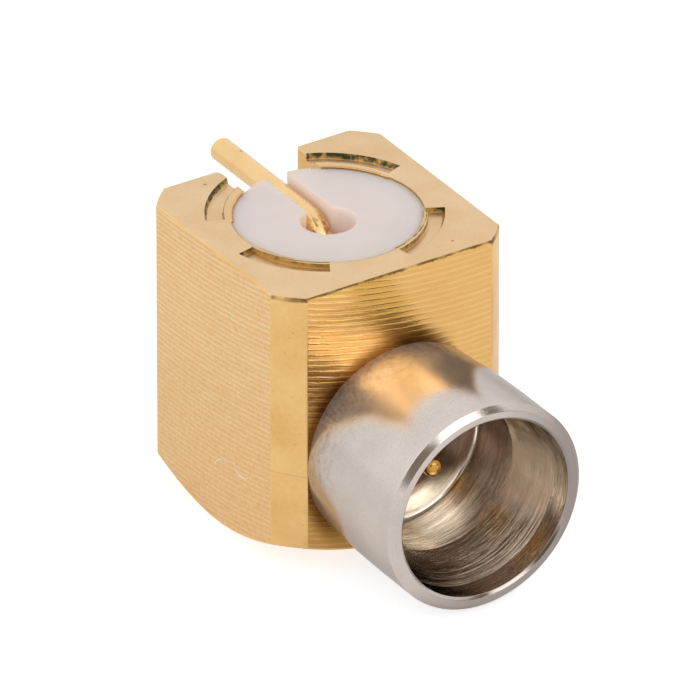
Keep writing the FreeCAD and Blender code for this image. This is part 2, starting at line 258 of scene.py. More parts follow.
class Finish:
    """A material's node tree, with short calls to add and join nodes."""

    def __init__(self, name):
        self.material = bpy.data.materials.new(name)
        self.material.use_nodes = True
        self.tree = self.material.node_tree
        self.tree.nodes.clear()
        self.output = self.tree.nodes.new("ShaderNodeOutputMaterial")
        where = self.tree.nodes.new("ShaderNodeTexCoord").outputs["Object"]
        self.mm = self.vector("SCALE", where, scale=1000.0)
        split = self.tree.nodes.new("ShaderNodeSeparateXYZ")
        self.join(self.mm, split.inputs[0])
        self.x, self.y, self.z = split.outputs

    def join(self, source, target):
        if hasattr(source, "is_linked"):
            self.tree.links.new(source, target)
        else:
            target.default_value = source

    def math(self, operation, *values):
        node = self.tree.nodes.new("ShaderNodeMath")
        node.operation = operation
        for value, target in zip(values, node.inputs):
            self.join(value, target)
        return node.outputs[0]

    def vector(self, operation, *values, scale=None):
        node = self.tree.nodes.new("ShaderNodeVectorMath")
        node.operation = operation
        for value, target in zip(values, node.inputs):
            self.join(value, target)
        if scale is not None:
            node.inputs["Scale"].default_value = scale
        return node.outputs["Value" if operation == "DISTANCE" else "Vector"]

    def stretched(self, x, y, z):
        return self.vector("MULTIPLY", self.mm, (x, y, z))

    def joined(self, x, y, z):
        node = self.tree.nodes.new("ShaderNodeCombineXYZ")
        for value, target in zip((x, y, z), node.inputs):
            self.join(value, target)
        return node.outputs[0]

    def across(self, first, first_scale, second, second_scale):
        """A place in two stretched directions, for a noise that runs with them."""
        return self.joined(self.math("MULTIPLY", first, first_scale),
                           self.math("MULTIPLY", second, second_scale), 0.0)

    def noise(self, where, scale, detail=3.0, roughness=0.55):
        node = self.tree.nodes.new("ShaderNodeTexNoise")
        self.join(where, node.inputs["Vector"])
        node.inputs["Scale"].default_value = scale
        node.inputs["Detail"].default_value = detail
        node.inputs["Roughness"].default_value = roughness
        return node.outputs["Fac"]

    def between(self, value, low, high, to_low=0.0, to_high=1.0, smooth=False):
        node = self.tree.nodes.new("ShaderNodeMapRange")
        if smooth:
            node.interpolation_type = "SMOOTHSTEP"
        self.join(value, node.inputs["Value"])
        for name, number in (("From Min", low), ("From Max", high), ("To Min", to_low), ("To Max", to_high)):
            node.inputs[name].default_value = number
        return node.outputs["Result"]

    def mix(self, factor, first, second):
        node = self.tree.nodes.new("ShaderNodeMix")
        node.data_type = "RGBA"
        self.join(factor, node.inputs["Factor"])
        sockets = [s for s in node.inputs if s.type == "RGBA"]
        self.join(first, sockets[0])
        self.join(second, sockets[1])
        return [s for s in node.outputs if s.type == "RGBA"][0]

    def bump(self, height, distance_mm, normal):
        node = self.tree.nodes.new("ShaderNodeBump")
        node.inputs["Strength"].default_value = 1.0
        node.inputs["Distance"].default_value = distance_mm * MM
        self.join(height, node.inputs["Height"])
        self.join(normal, node.inputs["Normal"])
        return node.outputs["Normal"]

    def bevel(self, radius_mm):
        node = self.tree.nodes.new("ShaderNodeBevel")
        node.samples = 6
        node.inputs["Radius"].default_value = radius_mm * MM
        return node.outputs["Normal"]

    def near(self, value, middle, half_width, soft):
        """One where a value is within a half width of a middle, falling to zero over a soft edge."""
        off = self.math("ABSOLUTE", self.math("SUBTRACT", value, middle))
        return self.between(off, half_width + soft, half_width, smooth=True)

    def curve(self, value, points):
        """A value read off a curve whose points, both ways, lie between zero and one."""
        node = self.tree.nodes.new("ShaderNodeFloatCurve")
        line = node.mapping.curves[0]
        line.points[0].location = points[0]
        line.points[1].location = points[-1]
        for point in points[1:-1]:
            line.points.new(*point)
        node.mapping.update()
        self.join(value, node.inputs["Value"])
        return node.outputs[0]

    def reach(self, first, second):
        """How far a point lies from the origin of two directions."""
        return self.math("SQRT", self.math("ADD", self.math("MULTIPLY", first, first),
                                           self.math("MULTIPLY", second, second)))

    def product(self, first, *others):
        """Values multiplied together."""
        for other in others:
            first = self.math("MULTIPLY", first, other)
        return first

    def total(self, *pairs):
        """The sum of values, each times its weight."""
        result = None
        for value, weight in pairs:
            part = self.math("MULTIPLY", value, weight)
            result = part if result is None else self.math("ADD", result, part)
        return result

    def surface(self, **inputs):
        node = self.tree.nodes.new("ShaderNodeBsdfPrincipled")
        for name, value in inputs.items():
            self.join(value, node.inputs[name.replace("_", " ").title().replace("Ior", "IOR")])
        self.tree.links.new(node.outputs[0], self.output.inputs["Surface"])
        return self.material


def colour(red, green, blue):
    """A display colour from 0 to 255 as linear light."""
    def linear(value):
        value /= 255.0
        return value / 12.92 if value <= 0.04045 else ((value + 0.055) / 1.055) ** 2.4
    return (linear(red), linear(green), linear(blue), 1.0)


def milled_gold(name, across, arc_middle, arc_radius, spacing, light, dark, depth, contrast, gloss, marks_and_painted_light):
    """Gold plate over a milled flat, with the arcs that a large cutter leaves."""
    f = Finish(name)
    along = f.y if across == "y" else f.x
    off = f.math("SUBTRACT", along, arc_middle)
    sag = f.math("DIVIDE", f.math("MULTIPLY", off, off), 2 * arc_radius)
    height = f.math("SUBTRACT", f.z, sag)
    drift = f.between(f.noise(f.stretched(0.5, 0.5, 2.2), 1.0, 2.0), 0.2, 0.8, -0.02, 0.02)
    shake = f.between(f.noise(f.stretched(6.0, 6.0, 12.0), 1.0, 2.0), 0.2, 0.8, -0.007, 0.007)
    height = f.math("ADD", height, f.math("ADD", drift, shake))
    wave = f.math("SINE", f.math("MULTIPLY", height, 2 * math.pi / spacing))
    ridge = f.between(wave, -0.2, 0.9, smooth=True)
    faint = f.noise(f.across(along, 1.4, height, 9.0), 1.0, 3.0)
    lines = f.math("MULTIPLY", ridge, f.between(faint, 0.3, 0.65, 0.4, 1.0, smooth=True))
    fine = f.noise(f.across(along, 2.5, height, 44.0), 1.0, 3.0)
    speckle = f.noise(f.mm, 30.0, 3.0, 0.7)
    blotch = f.noise(f.mm, 1.3, 4.0)
    if across == "x":
        worn = f.between(f.x, -0.6, 0.7, 0.0, 0.6)
        lines = f.total((lines, f.math("SUBTRACT", 1.0, worn)), (worn, 0.33))
    relief = f.total((lines, 1.0), (fine, 0.3), (speckle, 0.2))
    tint = f.total((lines, contrast), (fine, contrast * 0.6), (speckle, contrast * 0.5), (blotch, 0.35))
    paint = f.mix(f.between(tint, 0.1 + contrast * 0.4, 0.25 + contrast * 1.6), dark, light)
    # Scratches, and painted shade and reflections, over the milled gold.
    paint = marks_and_painted_light(f, along, paint)
    return f.surface(
        base_color=paint,
        metallic=1.0,
        roughness=f.between(speckle, 0.3, 0.7, gloss * 0.85, gloss * 1.15),
        normal=f.bump(relief, depth, f.bevel(0.02)))


def curled_scratch(f, along, paint):
    """Warm and pale mottling, a painted warm reflection that grows towards the bottom, and a fine scratch,
    curled like a wave, low on the left flat.
    """
    place = f.between(along, 0.0, -1.01)
    rise = f.curve(place, ((0.0, 0.13), (0.16, 0.58), (0.34, 0.72), (0.52, 0.86), (0.585, 0.62), (0.76, 0.56),
                           (0.86, 0.66), (1.0, 0.86)))
    level = f.math("MULTIPLY_ADD", rise, 0.4)
    level.node.inputs[2].default_value = 0.9
    stroke = f.near(f.math("SUBTRACT", f.z, level), 0.0, 0.006, 0.012)
    inside = f.near(along, -0.505, 0.49, 0.03)
    patchy = f.between(f.noise(f.mm, 8.0, 2.0), 0.4, 0.56, 0.15, 0.75)
    left_only = f.between(f.x, -1.8, -1.85)
    # Painted warm reflection: the flat grows warmer towards the bottom.
    paint = f.mix(f.between(f.z, 3.8, 1.6, 0.0, 0.35), paint, colour(235, 184, 110))
    warm = f.between(f.noise(f.mm, 10.0, 4.0, 0.7), 0.48, 0.62, 0.0, 0.34)
    pale = f.between(f.noise(f.mm, 13.0, 4.0, 0.7), 0.56, 0.44, 0.26, 0.0)
    paint = f.mix(warm, paint, colour(240, 178, 106))
    paint = f.mix(pale, paint, colour(252, 222, 172))
    return f.mix(f.product(stroke, inside, patchy, left_only), paint, colour(255, 246, 232))


def painted_edge_reflection(f, paint, strength, reach=0.036):
    """A painted dark reflection: a ragged, broken dark line just below the board face's edge."""
    ragged = f.between(f.noise(f.stretched(7.0, 7.0, 0.0), 1.0, 4.0, 0.7), 0.3, 0.7, -0.02, 0.02)
    line = f.between(f.math("ADD", f.z, ragged), BODY_HEIGHT - reach, BODY_HEIGHT - reach * 0.55, smooth=True)
    broken = f.between(f.noise(f.stretched(2.6, 2.6, 0.0), 1.0, 2.0), 0.36, 0.5, 0.25, 1.0)
    in_front = f.between(f.y, -1.5, -1.56)
    return f.mix(f.product(line, broken, in_front, strength), paint, colour(88, 60, 22))


def front_painted_shade(f, along, paint):
    """Painted shade and reflections on the front: a dark reflected line along the top, a darker reflected
    slanted band, a painted shadow low on the left, and painted shade in the corner by the sleeve's root.
    """
    # Painted dark reflection along the top edge.
    paint = painted_edge_reflection(f, paint, f.math("MULTIPLY", f.near(along, 0.12, 1.38, 0.2), 0.9))
    off = f.math("SUBTRACT", f.z, AXIS_Z)
    radius = f.reach(f.x, off)
    # Painted shade in the corner by the sleeve's root, strongest to its upper left.
    close = f.between(radius, 1.86, 1.58, smooth=True)
    upper_left = f.between(f.total((f.x, -0.85), (off, 0.5)), -0.25, 0.7, smooth=True)
    front_only = f.between(f.y, -1.8, -1.85)
    # Painted dark reflection: a slanted band across the upper front.
    reflected_band = f.near(f.total((f.x, 1.0), (f.z, 0.53)), 1.83, 0.14, 0.4)
    paint = f.mix(f.product(reflected_band, f.between(f.z, 2.9, 3.3), front_only, 0.5), paint, colour(209, 158, 66))
    # Painted shadow low on the left, under the sleeve.
    low = f.product(f.between(f.z, 1.5, 0.5), f.between(f.x, -0.3, -0.7), front_only, 0.4)
    paint = f.mix(low, paint, colour(176, 122, 44))
    return f.mix(f.product(close, upper_left, front_only, 0.9), paint, colour(116, 64, 2))


def plain_gold(name, light, dark, roughness, grain, depth, bevel=0.03, spots=(), edge_reflection_and_line=0.0, freckles=0.0,
               lipped=False, crinkled=False, staked=False):
    """Gold plate over a turned or faced surface, with a fine grain, soft blotches, its own blemishes and,
    where asked, painted shade and reflections.
    """
    f = Finish(name)
    blotch = f.noise(f.mm, 1.4, 4.0)
    speckle = f.noise(f.mm, grain, 3.0, 0.6)
    ring = f.noise(f.stretched(0.4, 0.4, 16.0), 1.0, 3.0)
    relief = f.total((speckle, 0.5), (ring, 0.4))
    if crinkled:
        bent = f.product(f.between(f.y, 0.62, 0.3), f.between(f.z, 3.3, 3.6))
        relief = f.math("ADD", relief, f.product(f.noise(f.mm, 5.5, 3.0, 0.6), bent, 11.0))
    paint = f.mix(f.between(f.total((blotch, 0.8), (speckle, 0.2)), 0.3, 0.7), light, dark)
    if lipped:
        from_axis = f.reach(f.x, f.y)
        broken = f.between(f.noise(f.mm, 6.0, 3.0), 0.38, 0.5, 0.2, 0.9)
        # Painted shade: a broken orange-brown line along the lip's inner edge, where it meets the disc.
        edge = f.product(f.near(from_axis, 1.366, 0.006, 0.012), f.between(f.z, 4.4, 4.42), broken)
        paint = f.mix(edge, paint, colour(206, 146, 84))
    if staked:
        off = f.math("SUBTRACT", f.y, STAKE_OFFSET)
        from_ring = f.reach(f.x, off)
        turn = f.math("MULTIPLY", f.math("ARCTAN2", off, f.x), 180.0 / math.pi)
        beside = None
        for first, sweep in STAKES:
            middle = (first + sweep / 2 + 180.0) % 360.0 - 180.0
            part = f.near(turn, middle, sweep / 2, 0.5)
            beside = part if beside is None else f.math("MAXIMUM", beside, part)
        crease_breaks = f.between(f.noise(f.mm, 7.0, 3.0), 0.4, 0.52, 0.25, 0.85)
        # Painted shade: a broken dark line in the crease along the inner wall of each staking mark.
        line = f.product(f.near(from_ring, STAKE_INNER + 0.004, 0.008, 0.008), beside, crease_breaks)
        paint = f.mix(line, paint, colour(96, 76, 34))
    if crinkled:
        # Painted dark reflections: brown streaks round the wire's bend.
        dark_glints = f.between(f.noise(f.stretched(15.0, 5.0, 5.0), 1.0, 2.0, 0.6), 0.5, 0.6, 0.0, 0.75)
        paint = f.mix(f.product(dark_glints, f.between(f.y, 0.42, 0.18)), paint, colour(146, 96, 34))
    if freckles:
        dots = f.noise(f.mm, 11.0, 2.0, 0.7)
        paint = f.mix(f.between(dots, 0.68, 0.78, 0.0, freckles), paint, colour(150, 104, 48))
    for place, radius in spots:
        far = f.vector("DISTANCE", f.mm, place)
        paint = f.mix(f.between(far, radius, radius * 0.4, 0.0, 0.6), paint, colour(96, 66, 36))
    if edge_reflection_and_line:
        # A faint slanted line on the front-left strip, then a painted dark reflection along the top edge.
        slanted = f.total((f.z, 1.0), (f.x, 0.06), (f.y, -0.06))
        corner = f.between(f.total((f.x, 1.0), (f.y, 1.0)), -3.3, -3.5)
        paint = f.mix(f.product(f.near(slanted, 1.59, 0.003, 0.009), corner, 0.2), paint, colour(110, 74, 32))
        paint = painted_edge_reflection(f, paint, edge_reflection_and_line, 0.08)
    return f.surface(
        base_color=paint,
        metallic=1.0,
        roughness=f.between(speckle, 0.3, 0.7, roughness * 0.85, roughness * 1.15),
        normal=f.bump(relief, depth, f.bevel(bevel)))


def tarnished_gold(name):
    """The inside of a staking mark: burnished gold, dark green where the tool bit deepest."""
    f = Finish(name)
    off = f.math("SUBTRACT", f.y, STAKE_OFFSET)
    around = f.math("ARCTAN2", off, f.x)
    radius = f.reach(f.x, off)
    streak = f.noise(f.across(around, 26.0, f.z, 9.0), 1.0, 4.0, 0.7)
    cloud = f.noise(f.mm, 6.0, 3.0)
    inner = f.between(radius, STAKE_INNER + 0.08, STAKE_INNER + 0.03, 0.0, 0.1)
    outer = f.between(radius, STAKE_OUTER - 0.06, STAKE_OUTER - 0.02)
    deep = f.between(f.z, BODY_HEIGHT - 0.03, BODY_HEIGHT - 0.08, 0.0, 0.16)
    clean = f.total((streak, 0.8), (cloud, 1.0), (inner, 1.0), (deep, 1.0), (outer, -0.12))
    return f.surface(
        base_color=f.mix(f.between(clean, 0.76, 1.06), colour(56, 56, 26), colour(214, 172, 96)),
        metallic=0.35,
        roughness=0.4,
        normal=f.bump(streak, 0.004, f.bevel(0.02)))


def nickel_outside(name):
    """The sleeve's outside: passivated, with a fine tumbled grain, scuffed and flecked by its root, and
    painted shade below and to the right.
    """
    f = Finish(name)
    blotch = f.noise(f.mm, 0.9, 4.0)
    grain = f.noise(f.mm, 46.0, 3.0, 0.7)
    patch = f.noise(f.mm, 5.0, 3.0)
    hair = f.noise(f.stretched(6.0, 40.0, 6.0), 1.0, 3.0)
    by_root = f.between(f.y, -3.1, -2.5)
    scuffs = f.noise(f.stretched(34.0, 5.0, 22.0), 1.0, 4.0, 0.7)
    relief = f.total((grain, 0.5), (patch, 0.2), (hair, 0.35), (f.math("MULTIPLY", scuffs, by_root), 0.35))
    paint = f.mix(f.between(blotch, 0.3, 0.7), colour(224, 214, 206), colour(206, 195, 187))
    paint = f.mix(f.between(grain, 0.52, 0.72, 0.0, 0.4), paint, colour(160, 148, 140))
    # Painted shade: darker below and towards the right side.
    shaded = f.between(f.total((f.x, 0.7), (f.z, -0.5)), -1.4, -0.3)
    paint = f.mix(shaded, paint, colour(180, 169, 161))
    paint = f.mix(f.between(f.x, 0.3, 1.4, 0.0, 0.5), paint, colour(150, 139, 133))
    flecks = f.product(f.between(f.noise(f.mm, 9.0, 4.0, 0.7), 0.45, 0.7), f.between(f.y, -2.9, -2.2), 0.5)
    paint = f.mix(flecks, paint, colour(150, 130, 84))
    paint = f.mix(f.product(f.between(scuffs, 0.56, 0.7), by_root, 0.12), paint, colour(255, 246, 232))
    wander = f.between(f.noise(f.stretched(0.0, 0.0, 6.0), 1.0, 2.0), 0.3, 0.7, -0.03, 0.03)
    stroke = f.near(f.math("ADD", f.y, wander), -2.22, 0.002, 0.008)
    inside = f.near(f.z, 2.26, 0.14, 0.05)
    left_only = f.between(f.x, -1.2, -1.3)
    paint = f.mix(f.product(stroke, inside, left_only, 0.5), paint, colour(90, 78, 70))
    return f.surface(
        base_color=paint,
        metallic=f.between(f.y, -3.3, -2.3, 0.86, 0.7),
        specular_tint=colour(226, 221, 217),
        roughness=f.between(f.total((patch, 0.5), (hair, 0.5)), 0.3, 0.7, 0.11, 0.20),
        normal=f.bump(relief, 0.0020, f.bevel(0.012)))


def nickel_bore(name):
    """The sleeve's inside: turned, so rings run round it, painted warmer towards its floor as a warm
    reflection, with painted dark reflected streaking, painted shade round the pin and a painted highlight on
    the cone.
    """
    f = Finish(name)
    off = f.math("SUBTRACT", f.z, AXIS_Z)
    around = f.math("ARCTAN2", off, f.x)
    radius = f.reach(f.x, off)
    depth = f.math("ADD", f.y, f.math("MULTIPLY", radius, 0.8))
    rings = f.noise(f.across(depth, 30.0, around, 0.8), 1.0, 4.0, 0.6)
    band = f.noise(f.across(depth, 5.0, around, 1.2), 1.0, 2.0)
    patch = f.noise(f.mm, 3.0, 3.0)
    cone = f.near(f.y, FRONT + 0.8, 0.36, 0.08)
    ring_strength = f.between(cone, 0.0, 1.0, 0.5, 0.7)
    relief = f.math("MULTIPLY", f.total((rings, 1.0), (band, 1.0), (patch, 0.3)), ring_strength)
    deep = f.between(f.y, FRONT + 0.9, SLEEVE_FLOOR)
    shade = f.between(f.total((patch, 0.6), (rings, 0.4)), 0.3, 0.7)
    paint = f.mix(shade, colour(253, 249, 243), colour(228, 219, 207))
    # Painted warm reflection, stronger towards the floor.
    paint = f.mix(f.math("MULTIPLY", deep, 0.35), paint, colour(232, 212, 180))
    # Painted dark reflections: brown streaks running round the bore.
    reflection_streaks = f.noise(f.across(depth, 11.0, around, 1.3), 1.0, 3.0)
    paint = f.mix(f.between(reflection_streaks, 0.52, 0.6, 0.0, 0.34, smooth=True), paint, colour(120, 92, 54))
    # Painted shade on the bore's floor round the pin and across its upper part.
    upper = f.between(off, -0.9, -0.55, smooth=True)
    middle = f.between(radius, 1.0, 0.8)
    on_floor = f.between(f.y, SLEEVE_FLOOR - 0.03, SLEEVE_FLOOR - 0.01)
    floor_shade = f.product(on_floor, f.math("MAXIMUM", middle, f.math("MULTIPLY", upper, 0.9)), 0.94)
    paint = f.mix(floor_shade, paint, colour(88, 52, 38))
    # Painted highlight: a pale, partly matt patch on the right of the lead-in cone.
    right_middle = f.product(f.between(f.x, 0.6, 1.1), f.between(off, -0.9, -0.6), f.between(off, 0.5, 0.1))
    highlight_patch = f.product(right_middle, cone, 0.6)
    paint = f.mix(highlight_patch, paint, colour(255, 214, 168))
    return f.surface(
        base_color=paint,
        metallic=f.math("SUBTRACT", 1.0, highlight_patch),
        roughness=f.between(f.total((band, 0.5), (cone, 0.5)), 0.15, 0.85, 0.05, 0.13),
        normal=f.bump(relief, 0.014, f.bevel(0.01)))


def insulator(name, glowing=False):
    """White fluoropolymer, faced smooth: a soft, slightly clouded plastic with a painted warm reflection at
    its rim, and painted warm light and a painted glow in its openings.
    """
    f = Finish(name)
    cloud = f.noise(f.mm, 0.8, 3.0)
    grain = f.noise(f.mm, 30.0, 2.0)
    paint = f.mix(f.between(cloud, 0.3, 0.7), colour(235, 222, 217), colour(228, 214, 208))
    from_axis = f.reach(f.x, f.y)
    # Painted warm reflection towards the rim.
    paint = f.mix(f.between(from_axis, 1.24, 1.40, 0.0, 0.75, smooth=True), paint, colour(255, 216, 178))
    if glowing:
        # Painted warm light on the openings' walls, peach towards one side.
        paint = f.mix(f.between(f.x, 0.3, -0.05), colour(236, 224, 220), colour(250, 218, 192))
    return f.surface(
        base_color=paint,
        metallic=0.0,
        roughness=f.between(grain, 0.3, 0.7, 0.42, 0.52),
        subsurface_weight=1.0,
        subsurface_radius=(1.0, 0.94, 0.9),
        subsurface_scale=0.5 * MM,
        # Painted glow: a faint emission on the openings' walls.
        emission_color=colour(255, 232, 218),
        emission_strength=0.07 if glowing else 0.0,
        normal=f.bump(grain, 0.0008, f.bevel(0.02)))


# Finishes
flat_x_gold = milled_gold(
    "gold_milled_sides", across="y", arc_middle=1.5, arc_radius=13.9, spacing=0.082,
    light=colour(252, 222, 172), dark=colour(231, 183, 120),
    depth=0.0013, contrast=0.6, gloss=0.26, marks_and_painted_light=curled_scratch)
flat_y_gold = milled_gold(
    "gold_milled_front", across="x", arc_middle=1.2, arc_radius=8.8, spacing=0.095,
    light=colour(255, 214, 146), dark=colour(229, 173, 94),
    depth=0.0029, contrast=0.65, gloss=0.15, marks_and_painted_light=front_painted_shade)
faced_gold = plain_gold(
    "gold_faced", colour(232, 202, 162), colour(222, 186, 138), roughness=0.38, grain=22.0, depth=0.0008,
    spots=(((-1.02, 1.67, 4.5), 0.035), ((1.085, -1.605, 4.5), 0.03)), staked=True)
turned_gold = plain_gold(
    "gold_turned", colour(250, 208, 140), colour(232, 184, 112), roughness=0.24, grain=14.0, depth=0.0018,
    edge_reflection_and_line=0.8, freckles=0.5)
inner_gold = plain_gold(
    "gold_inside", colour(238, 198, 134), colour(226, 182, 112), roughness=0.3, grain=18.0, depth=0.0014,
    lipped=True)
wire_gold = plain_gold(
    "gold_wire", colour(248, 213, 158), colour(238, 198, 138), roughness=0.26, grain=16.0, depth=0.0026,
    bevel=0.008, spots=(((0.05, 2.39, 4.385), 0.035),), crinkled=True)
pin_gold = plain_gold(
    "gold_pin", colour(226, 180, 100), colour(196, 146, 72), roughness=0.16, grain=16.0, depth=0.0006,
    bevel=0.006)
dark_gold = tarnished_gold("gold_tarnished")
sleeve_outside = nickel_outside("nickel_outside")
sleeve_bore = nickel_bore("nickel_bore")
white_plastic = insulator("white_fluoropolymer")
lit_plastic = insulator("white_fluoropolymer_openings", glowing=True)

# Body: a turned bar, milled to four flats, then bored, slotted and staked
bar = turned("turned_body", [
    (0.0, 0.0),
    (BASE_RADIUS, 0.0),
    (BAR_RADIUS, CONE_HEIGHT),
    (BAR_RADIUS, BODY_HEIGHT),
    (0.0, BODY_HEIGHT)], about_z, segments=360)
block = prism("block", [
    (-LEFT_FACE, -FACE),
    (FACE, -FACE),
    (FACE, FACE),
    (-LEFT_FACE, FACE)], -1.0, ABOVE)
bar = combined(bar, [(block, "INTERSECT")])
rounded = bar.modifiers.new("rounded", "BEVEL")
rounded.limit_method = "ANGLE"
rounded.angle_limit = math.radians(25.0)
rounded.width = EDGE_BEVEL
rounded.segments = 3
bar = combined(bar, [])
well = turned("well", [
    (0.0, CAVITY_FLOOR),
    (CAVITY_RADIUS, CAVITY_FLOOR),
    (CAVITY_RADIUS, WELL_FLOOR),
    (WELL_RADIUS, WELL_FLOOR),
    (WELL_RADIUS, ABOVE),
    (0.0, ABOVE)], about_z)
front_bore = turned("front_bore", [
    (0.0, -3.0),
    (SPIGOT_HOLE, -3.0),
    (SPIGOT_HOLE, SPIGOT_END),
    (FLANGE_HOLE, SPIGOT_END),
    (FLANGE_HOLE, FLANGE_END),
    (BEAD_HOLE, FLANGE_END),
    (BEAD_HOLE, 0.0),
    (0.0, 0.0)], about_mating_axis, segments=128)
steps = [(well, "DIFFERENCE"), (front_bore, "DIFFERENCE")]
for first, sweep in STAKES:
    stake = ring_sector("stake", [
        (STAKE_INNER, BODY_HEIGHT - STAKE_DEPTH),
        (STAKE_OUTER - STAKE_SLOPE, BODY_HEIGHT - STAKE_DEPTH),
        (STAKE_OUTER, BODY_HEIGHT),
        (STAKE_OUTER, BODY_HEIGHT + 0.5),
        (STAKE_INNER, BODY_HEIGHT + 0.5)], first, sweep, STAKE_OFFSET)
    steps.append((stake, "DIFFERENCE"))
for first, sweep in STAKES:
    lip = ring_sector("lip", [
        (WELL_RADIUS + 0.03, BODY_HEIGHT - 0.004),
        (WELL_RADIUS + 0.03, BODY_HEIGHT - LIP_THICKNESS - 0.02),
        (WELL_RADIUS - LIP_OVERLAP, BODY_HEIGHT - 0.004)], first, sweep, 0.0)
    steps.append((lip, "UNION"))
flare = arc_corner((HALF_SLOT, 0.0), (HALF_SLOT, FACE), (3.0, FACE), SLOT_ROUND, 6)
outline = [(HALF_SLOT, 0.7)] + flare + [(flare[-1][0], 3.0)]
slot_cutter = prism("slot", outline + [(-x, y) for x, y in reversed(outline)], SLOT_FLOOR, ABOVE)
steps.append((slot_cutter, "DIFFERENCE"))
body = combined(bar, steps)


def body_finish(centre, normal):
    """The number of a face's finish in the list below."""
    sides, fronts, faced, turned_bar, inside, staked = range(6)
    from_ring = math.hypot(centre.x, centre.y - STAKE_OFFSET)
    in_slot = abs(normal.x) > 0.99 and abs(abs(centre.x) - HALF_SLOT) < 0.003
    in_stake_ring = STAKE_INNER - 0.005 < from_ring < STAKE_OUTER + 0.005
    if in_stake_ring and 4.35 < centre.z < 4.499 and not in_slot:
        return faced if normal.z > 0.95 else staked
    if abs(normal.x) > 0.999 and abs(centre.x) > FACE - 0.001:
        return sides
    if abs(normal.y) > 0.999 and abs(centre.y) > FACE - 0.001:
        return fronts
    if normal.z > 0.999 and centre.z > BODY_HEIGHT - 0.001:
        return faced
    from_axis = math.hypot(centre.x, centre.y)
    if max(abs(centre.x), abs(centre.y)) > 1.85 or from_axis > 2.0 or centre.z < CONE_HEIGHT:
        return turned_bar
    return inside


finished(body, "body",
         [flat_x_gold, flat_y_gold, faced_gold, turned_gold, inner_gold, dark_gold], body_finish)

# Sleeve
sleeve_profile = [
    (SPIGOT_BORE, SPIGOT_END),
    (SPIGOT_RADIUS, SPIGOT_END, 0.03),
    (SPIGOT_RADIUS, ROOT),
    (1.555, ROOT),
    (1.574, -2.20, 5.0),
    (1.612, -2.70, 5.0),
    (SLEEVE_RADIUS, -3.355, 5.0),
    (SLEEVE_RADIUS, FRONT + 0.09, 0.012),
    (1.535, FRONT, 0.012),
    (1.44, FRONT, 0.01),
    (1.40, FRONT + 0.04, 0.01),
    (1.40, FRONT + 0.38, 0.01),
    (1.20, FRONT + 1.18, 0.02),
    (1.28, FRONT + 1.84, 0.01),
    (1.28, SLEEVE_FLOOR, 0.08),
    (SPIGOT_BORE, SLEEVE_FLOOR)]
sleeve = turned("mating_sleeve", sleeve_profile, about_mating_axis, closed=True, segments=320)


def sleeve_finish(centre, normal):
    """The bore's finish past the mouth, and the outside's elsewhere."""
    inside = math.hypot(centre.x, centre.z - AXIS_Z) < 1.42
    return 1 if inside and centre.y > FRONT + 0.045 else 0


finished(sleeve, "sleeve", [sleeve_outside, sleeve_bore], sleeve_finish)

# Bead and contact inside the sleeve
bead = turned("front_bead", [
    (BEAD_BORE, SLEEVE_FLOOR),
    (BEAD_RADIUS, SLEEVE_FLOOR, 0.02),
    (BEAD_RADIUS, SPIGOT_END),
    (FLANGE_RADIUS, SPIGOT_END, 0.02),
    (FLANGE_RADIUS, FLANGE_END, 0.02),
    (BEAD_BORE, FLANGE_END)], about_mating_axis, closed=True, segments=128)
finished(bead, "front_insulator", [white_plastic])
contact = turned("contact_pin", [
    (0.0, PIN_TIP),
    (PIN_RADIUS, PIN_TIP, PIN_TIP_ROUND),
    (PIN_RADIUS, SLEEVE_FLOOR),
    (SHANK_RADIUS, SLEEVE_FLOOR),
    (SHANK_RADIUS, FLANGE_END),
    (BARREL_RADIUS, FLANGE_END),
    (BARREL_RADIUS, 0.36, 0.03),
    (0.0, 0.36)], about_mating_axis, segments=96)
finished(contact, "front_contact", [pin_gold])

# Tail: a round wire along its bent line
line = [(0.0, TAIL_FOOT)]
line += [(0.0, TAIL_FOOT + (TAIL_Z - BEND_RADIUS - TAIL_FOOT) * k / FOOT_STEPS) for k in range(1, FOOT_STEPS)]
for k in range(BEND_STEPS + 1):
    angle = math.pi - math.pi / 2 * k / BEND_STEPS
    line.append((BEND_RADIUS + BEND_RADIUS * math.cos(angle),
                 TAIL_Z - BEND_RADIUS + BEND_RADIUS * math.sin(angle)))
line += [(BEND_RADIUS + (TAIL_END - BEND_RADIUS) * k / RUN_STEPS, TAIL_Z) for k in range(1, RUN_STEPS + 1)]
rings = []
for k, (y, z) in enumerate(line):
    ahead = Vector(line[min(k + 1, len(line) - 1)]) - Vector(line[max(k - 1, 0)])
    ahead.normalize()
    rings.append(((y, z), (-ahead.y, ahead.x), TAIL_RADIUS))
rings.pop()
for k in range(TIP_STEPS + 1):
    angle = math.pi / 2 * k / TIP_STEPS
    rings.append(((TAIL_END - TIP_ROUND + TIP_ROUND * math.sin(angle), TAIL_Z), (0.0, 1.0),
                  TAIL_RADIUS - TIP_ROUND + TIP_ROUND * math.cos(angle)))
mesh = bmesh.new()
loops = []
for (y, z), (ny, nz), radius in rings:
    loop = []
    for k in range(WIRE_SIDES):
        angle = 2 * math.pi * k / WIRE_SIDES
        out = radius * math.sin(angle)
        loop.append(mesh.verts.new((radius * math.cos(angle), y + ny * out, z + nz * out)))
    loops.append(loop)
for low, high in zip(loops, loops[1:]):
    for k in range(WIRE_SIDES):
        after = (k + 1) % WIRE_SIDES
        mesh.faces.new((low[k], low[after], high[after], high[k]))
mesh.faces.new(loops[0])
mesh.faces.new(loops[-1])
bmesh.ops.recalc_face_normals(mesh, faces=mesh.faces)
tail = new_object("wire_tail", mesh)
finished(tail, "tail_contact", [wire_gold])

